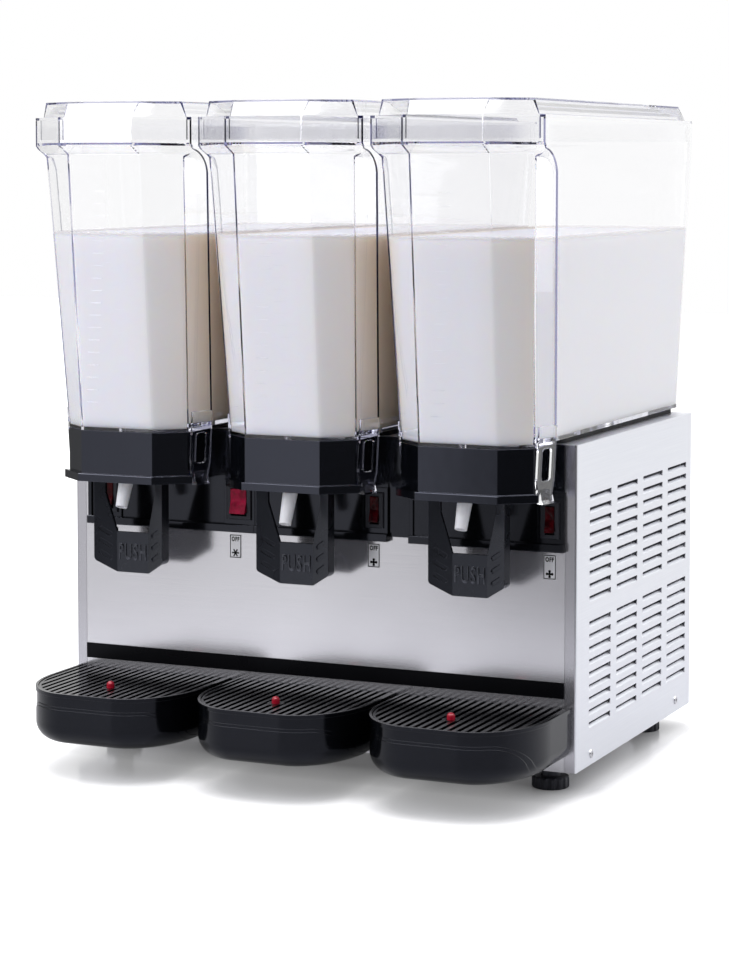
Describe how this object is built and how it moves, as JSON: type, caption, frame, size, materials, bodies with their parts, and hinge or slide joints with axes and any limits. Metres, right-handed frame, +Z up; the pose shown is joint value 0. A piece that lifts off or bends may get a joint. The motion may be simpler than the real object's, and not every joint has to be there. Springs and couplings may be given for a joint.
{
  "type": "cold drink dispenser",
  "caption": "Countertop cold drink dispenser: clear lidded tanks on a louvred stainless cabinet, push-lever taps over round-fronted drip trays with slotted grilles",
  "frame": {"origin": "on the counter, below the middle of the whole object", "axes": "+X to the right seen from the front, +Y to the back, +Z up; the taps face -Y"},
  "size_m": [0.57, 0.545, 0.6915],
  "materials": {
    "stainless_sheet": "satin brushed stainless sheet",
    "stainless_bright": "bright drawn stainless",
    "black_gloss": "glossy moulded black plastic",
    "black_matte": "satin moulded black plastic",
    "black_rubber": "matte black seal rubber",
    "clear_polycarbonate": "clear moulded polycarbonate",
    "white_drink": "opaque milky drink",
    "white_silicone": "soft white silicone tube",
    "white_moulding": "white food-grade moulding",
    "red_lens": "dark translucent red lens",
    "red_float": "glossy red moulding",
    "grey_motor": "grey painted motor casing",
    "black_enamel": "black enamelled steel pot",
    "aluminium_fins": "plain aluminium fins",
    "copper_tube": "drawn copper tube"
  },
  "bodies": {
    "cabinet": {"base_pan": "stainless_sheet", "side_panel_left": "stainless_sheet", "side_panel_right": "stainless_sheet", "front_panel": "stainless_sheet", "rear_panel": "stainless_sheet", "top_deck": "stainless_sheet", "front_strip": "black_gloss", "power_inlet": "black_matte", "front_fascia": "black_gloss", "tap_infill": "black_gloss", "tap_panel_1": "black_gloss", "tap_panel_2": "black_gloss", "tap_panel_3": "black_gloss", "bowl_seat_1": "black_gloss", "bowl_seat_2": "black_gloss", "bowl_seat_3": "black_gloss", "tank_seals": "black_rubber", "evaporators": "stainless_bright", "stirrer_motors": "grey_motor", "tap_tubes": "white_silicone", "lever_pins": "stainless_bright", "lever_springs": "stainless_bright", "switch_housings": "black_matte", "compressor": "black_enamel", "condenser": "aluminium_fins", "fan_shroud": "grey_motor", "refrigerant_lines": "copper_tube"},
    "foot_1": {"foot_1": "black_matte"},
    "foot_2": {"foot_2": "black_matte"},
    "foot_3": {"foot_3": "black_matte"},
    "foot_4": {"foot_4": "black_matte"},
    "tank_1": {"tank_1": "clear_polycarbonate", "drink_1": "white_drink"},
    "lid_1": {"lid_1": "clear_polycarbonate"},
    "stirrer_1": {"stirrer_1": "white_moulding"},
    "lever_1": {"push_lever_1": "black_matte"},
    "tray_1": {"drip_tray_1": "black_gloss"},
    "grille_1": {"drip_grille_1": "black_gloss"},
    "float_1": {"level_float_1": "red_float"},
    "tank_2": {"tank_2": "clear_polycarbonate", "drink_2": "white_drink"},
    "lid_2": {"lid_2": "clear_polycarbonate"},
    "stirrer_2": {"stirrer_2": "white_moulding"},
    "lever_2": {"push_lever_2": "black_matte"},
    "tray_2": {"drip_tray_2": "black_gloss"},
    "grille_2": {"drip_grille_2": "black_gloss"},
    "float_2": {"level_float_2": "red_float"},
    "tank_3": {"tank_3": "clear_polycarbonate", "drink_3": "white_drink"},
    "lid_3": {"lid_3": "clear_polycarbonate"},
    "stirrer_3": {"stirrer_3": "white_moulding"},
    "lever_3": {"push_lever_3": "black_matte"},
    "tray_3": {"drip_tray_3": "black_gloss"},
    "grille_3": {"drip_grille_3": "black_gloss"},
    "float_3": {"level_float_3": "red_float"},
    "rocker_main": {"rocker_main": "red_lens"},
    "rocker_1": {"rocker_1": "red_lens"},
    "rocker_2": {"rocker_2": "red_lens"},
    "rocker_3": {"rocker_3": "red_lens"},
    "fan": {"condenser_fan": "black_matte"}
  },
  "joints": [
    {"name": "foot_1_level", "type": "hinge", "parent": "cabinet", "child": "foot_1", "pos_m": [-0.2465, -0.09, 0.0235], "axis": [0, 0, 1], "continuous": true},
    {"name": "foot_2_level", "type": "hinge", "parent": "cabinet", "child": "foot_2", "pos_m": [0.2465, -0.09, 0.0235], "axis": [0, 0, 1], "continuous": true},
    {"name": "foot_3_level", "type": "hinge", "parent": "cabinet", "child": "foot_3", "pos_m": [-0.2465, 0.205, 0.0235], "axis": [0, 0, 1], "continuous": true},
    {"name": "foot_4_level", "type": "hinge", "parent": "cabinet", "child": "foot_4", "pos_m": [0.2465, 0.205, 0.0235], "axis": [0, 0, 1], "continuous": true},
    {"name": "tank_1_lift", "type": "slide", "parent": "cabinet", "child": "tank_1", "axis": [0, 0, 1], "range_m": [0, 0.15]},
    {"name": "lid_1_lift", "type": "slide", "parent": "tank_1", "child": "lid_1", "axis": [0, 0, 1], "range_m": [0, 0.08]},
    {"name": "stirrer_1_spin", "type": "hinge", "parent": "tank_1", "child": "stirrer_1", "pos_m": [-0.19, -0.071, 0.3695], "axis": [0, 0, 1], "continuous": true},
    {"name": "lever_1_push", "type": "hinge", "parent": "cabinet", "child": "lever_1", "pos_m": [-0.19, -0.174, 0.3105], "axis": [1, 0, 0], "range_deg": [0, 14], "stiffness_Nm_per_rad": 0.5, "springref_deg": -17.19},
    {"name": "tray_1_pull", "type": "slide", "parent": "cabinet", "child": "tray_1", "axis": [0, -1, 0], "range_m": [0, 0.12]},
    {"name": "grille_1_lift", "type": "slide", "parent": "tray_1", "child": "grille_1", "axis": [0, 0, 1], "range_m": [0, 0.05]},
    {"name": "float_1_rise", "type": "slide", "parent": "tray_1", "child": "float_1", "axis": [0, 0, 1], "range_m": [0, 0.012]},
    {"name": "tank_2_lift", "type": "slide", "parent": "cabinet", "child": "tank_2", "axis": [0, 0, 1], "range_m": [0, 0.15]},
    {"name": "lid_2_lift", "type": "slide", "parent": "tank_2", "child": "lid_2", "axis": [0, 0, 1], "range_m": [0, 0.08]},
    {"name": "stirrer_2_spin", "type": "hinge", "parent": "tank_2", "child": "stirrer_2", "pos_m": [0, -0.071, 0.3695], "axis": [0, 0, 1], "continuous": true},
    {"name": "lever_2_push", "type": "hinge", "parent": "cabinet", "child": "lever_2", "pos_m": [0, -0.174, 0.3105], "axis": [1, 0, 0], "range_deg": [0, 14], "stiffness_Nm_per_rad": 0.5, "springref_deg": -17.19},
    {"name": "tray_2_pull", "type": "slide", "parent": "cabinet", "child": "tray_2", "axis": [0, -1, 0], "range_m": [0, 0.12]},
    {"name": "grille_2_lift", "type": "slide", "parent": "tray_2", "child": "grille_2", "axis": [0, 0, 1], "range_m": [0, 0.05]},
    {"name": "float_2_rise", "type": "slide", "parent": "tray_2", "child": "float_2", "axis": [0, 0, 1], "range_m": [0, 0.012]},
    {"name": "tank_3_lift", "type": "slide", "parent": "cabinet", "child": "tank_3", "axis": [0, 0, 1], "range_m": [0, 0.15]},
    {"name": "lid_3_lift", "type": "slide", "parent": "tank_3", "child": "lid_3", "axis": [0, 0, 1], "range_m": [0, 0.08]},
    {"name": "stirrer_3_spin", "type": "hinge", "parent": "tank_3", "child": "stirrer_3", "pos_m": [0.19, -0.071, 0.3695], "axis": [0, 0, 1], "continuous": true},
    {"name": "lever_3_push", "type": "hinge", "parent": "cabinet", "child": "lever_3", "pos_m": [0.19, -0.174, 0.3105], "axis": [1, 0, 0], "range_deg": [0, 14], "stiffness_Nm_per_rad": 0.5, "springref_deg": -17.19},
    {"name": "tray_3_pull", "type": "slide", "parent": "cabinet", "child": "tray_3", "axis": [0, -1, 0], "range_m": [0, 0.12]},
    {"name": "grille_3_lift", "type": "slide", "parent": "tray_3", "child": "grille_3", "axis": [0, 0, 1], "range_m": [0, 0.05]},
    {"name": "float_3_rise", "type": "slide", "parent": "tray_3", "child": "float_3", "axis": [0, 0, 1], "range_m": [0, 0.012]},
    {"name": "rocker_main_tip", "type": "hinge", "parent": "cabinet", "child": "rocker_main", "pos_m": [-0.086, -0.126, 0.2765], "axis": [1, 0, 0], "range_deg": [0, 16]},
    {"name": "rocker_1_tip", "type": "hinge", "parent": "cabinet", "child": "rocker_1", "pos_m": [-0.2405, -0.126, 0.2765], "axis": [1, 0, 0], "range_deg": [0, 16]},
    {"name": "rocker_2_tip", "type": "hinge", "parent": "cabinet", "child": "rocker_2", "pos_m": [0.069, -0.126, 0.2765], "axis": [1, 0, 0], "range_deg": [0, 16]},
    {"name": "rocker_3_tip", "type": "hinge", "parent": "cabinet", "child": "rocker_3", "pos_m": [0.259, -0.126, 0.2765], "axis": [1, 0, 0], "range_deg": [0, 16]},
    {"name": "fan_spin", "type": "hinge", "parent": "cabinet", "child": "fan", "pos_m": [0.19, 0.038, 0.1415], "axis": [1, 0, 0], "continuous": true}
  ]
}
